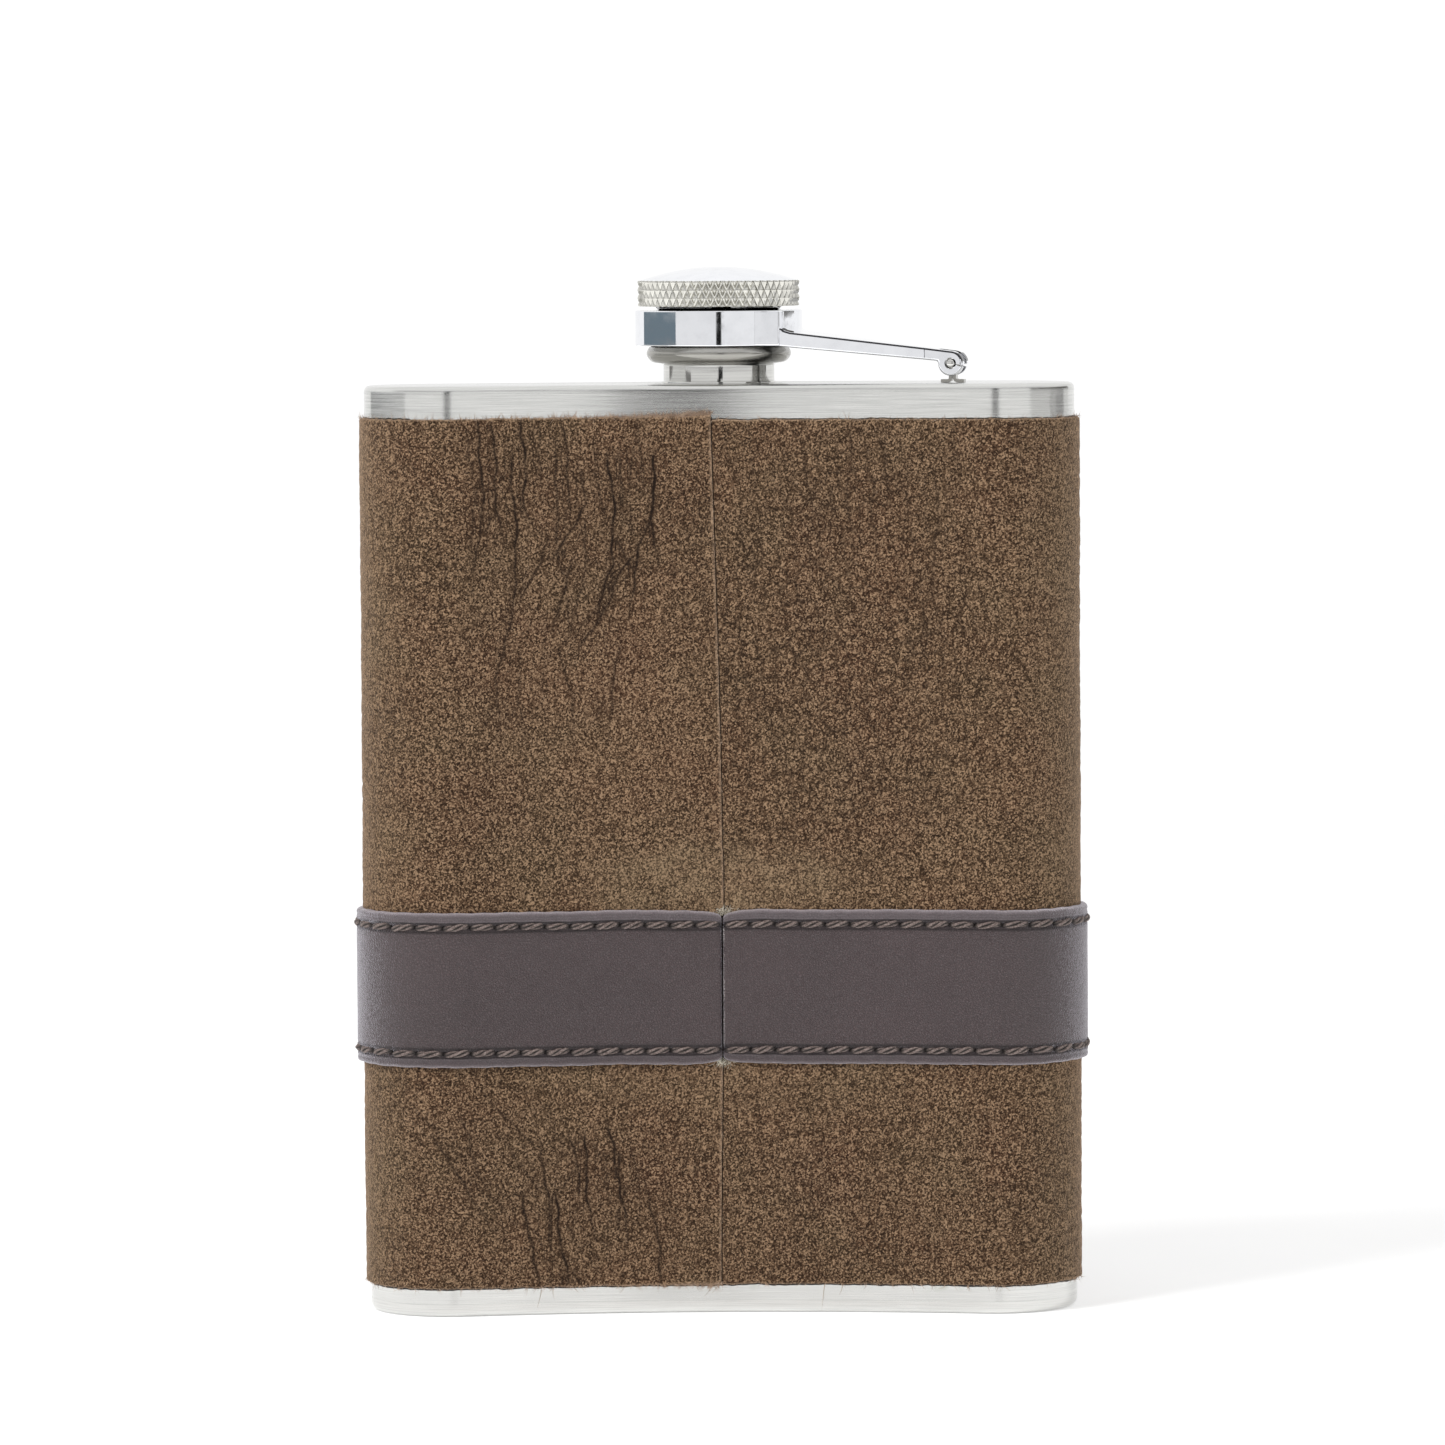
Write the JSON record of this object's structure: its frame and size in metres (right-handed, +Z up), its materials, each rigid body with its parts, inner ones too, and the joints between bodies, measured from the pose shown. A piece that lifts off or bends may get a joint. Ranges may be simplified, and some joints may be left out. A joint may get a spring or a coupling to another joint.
{
  "type": "hip flask",
  "caption": "Curved steel hip flask with a leather wrap, a stitched leather band and a knurled screw cap held captive by a hinged collar and arm.",
  "frame": {"origin": "centre of the footprint at the underside of the base", "axes": "+Z up through the cap, +X towards the cap's hinge, +Y towards the convex front, so the concave back that lies against the hip, with the seam of the leather, faces -Y"},
  "size_m": [0.0984, 0.029, 0.1396],
  "materials": {
    "brushed_steel": "brushed round the body",
    "polished_steel": "turned and polished",
    "chrome": "mirror",
    "nubuck": "matte nubuck, brown",
    "smooth_leather": "smooth, half matte, dark brown",
    "thread": "twisted thread, dark brown",
    "silicone": "satin, off-white"
  },
  "bodies": {
    "vessel": {"body_shell": "brushed_steel", "base_plate": "brushed_steel", "top_plate": "brushed_steel", "neck": "polished_steel", "leather_wrap": "nubuck", "leather_band": "smooth_leather", "stitching_lower": "thread", "stitching_upper": "thread", "hinge_bracket": "chrome", "hinge_pin": "chrome"},
    "collar": {"captive_collar": "chrome"},
    "cap": {"cap_core": "polished_steel", "cap_head": "polished_steel", "cap_gasket": "silicone"}
  },
  "joints": [
    {"name": "collar_swing", "type": "hinge", "parent": "vessel", "child": "collar", "pos_m": [0.0313, -0.00324, 0.1266], "axis": [0.1564, 0.9877, 0], "range_deg": [0, 165]},
    {"name": "cap_spin", "type": "hinge", "parent": "collar", "child": "cap", "pos_m": [0, 0.00171, 0.124], "axis": [0, 0, 1], "continuous": true}
  ]
}
